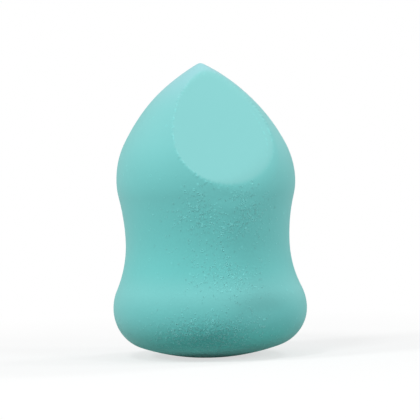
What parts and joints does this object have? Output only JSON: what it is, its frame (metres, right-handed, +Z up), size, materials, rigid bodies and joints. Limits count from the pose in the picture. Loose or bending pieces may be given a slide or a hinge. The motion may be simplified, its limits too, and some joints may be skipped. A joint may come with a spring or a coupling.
{
  "type": "makeup sponge",
  "caption": "Gourd-shaped foam sponge with a wide base, a finger waist and a domed pointed top, cut by one slanting flat face for applying make-up.",
  "frame": {"origin": "centre of the foot, the small flat under the base that the sponge stands on", "axes": "+Z up along the sponge's round axis to the tip; the bevel faces -Y and up; the two halves either side of X = 0 mirror each other"},
  "size_m": [0.0398, 0.0396, 0.06],
  "materials": {
    "foam": "matte"
  },
  "bodies": {
    "root": {"sponge_body": "foam"}
  },
  "joints": []
}
